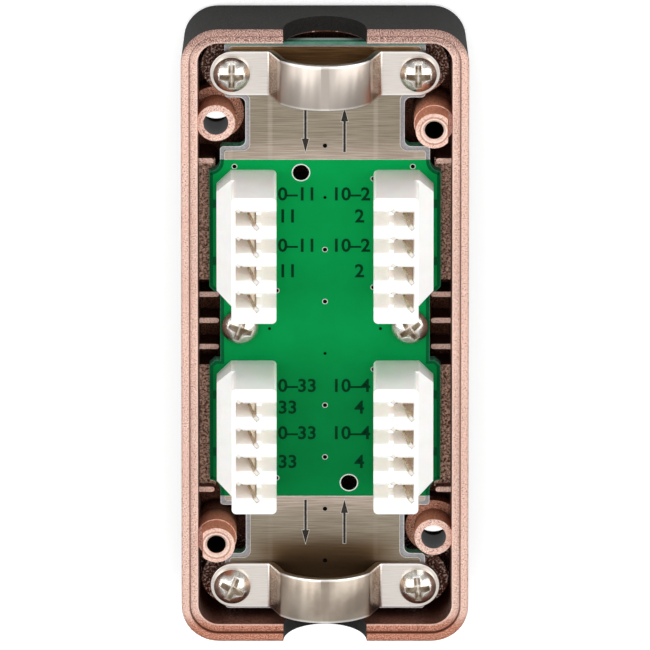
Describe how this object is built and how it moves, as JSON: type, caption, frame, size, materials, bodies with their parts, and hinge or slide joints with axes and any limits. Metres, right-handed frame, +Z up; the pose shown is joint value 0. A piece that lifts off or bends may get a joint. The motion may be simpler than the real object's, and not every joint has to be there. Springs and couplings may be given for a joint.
{
  "type": "ethernet connection box",
  "caption": "Open lower half of a shielded cable connection box: moulded tray, circuit board, punch-down terminal strips, strap clamps for the cable at each end, and their screws.",
  "frame": {"origin": "centre of the flat underside of the tray, at the bottom of the part's box", "axes": "+Z up out of the open side, +Y along the cable towards end a, +X across the box"},
  "size_m": [0.042, 0.096, 0.0192],
  "materials": {
    "shell": "black moulded plastic outside, copper plated inside and on the rim",
    "board": "green solder mask on glass fibre laminate",
    "tinned_metal": "tinned copper foil, dull",
    "strap_metal": "nickel plated, satin",
    "screw_metal": "nickel plated, bright",
    "strip_plastic": "white moulded plastic, semi-gloss",
    "contact_metal": "tinned bronze"
  },
  "bodies": {
    "root": {"board_screws": "screw_metal", "cable_clamp_a": "strap_metal", "cable_clamp_b": "strap_metal", "circuit_board": "board", "clamp_screws": "screw_metal", "contact_1": "contact_metal", "contact_10": "contact_metal", "contact_11": "contact_metal", "contact_12": "contact_metal", "contact_13": "contact_metal", "contact_14": "contact_metal", "contact_15": "contact_metal", "contact_16": "contact_metal", "contact_2": "contact_metal", "contact_3": "contact_metal", "contact_4": "contact_metal", "contact_5": "contact_metal", "contact_6": "contact_metal", "contact_7": "contact_metal", "contact_8": "contact_metal", "contact_9": "contact_metal", "ground_plane_a": "tinned_metal", "ground_plane_b": "tinned_metal", "housing": "shell", "terminal_strip_left_a": "strip_plastic", "terminal_strip_left_b": "strip_plastic", "terminal_strip_right_a": "strip_plastic", "terminal_strip_right_b": "strip_plastic"}
  },
  "joints": []
}
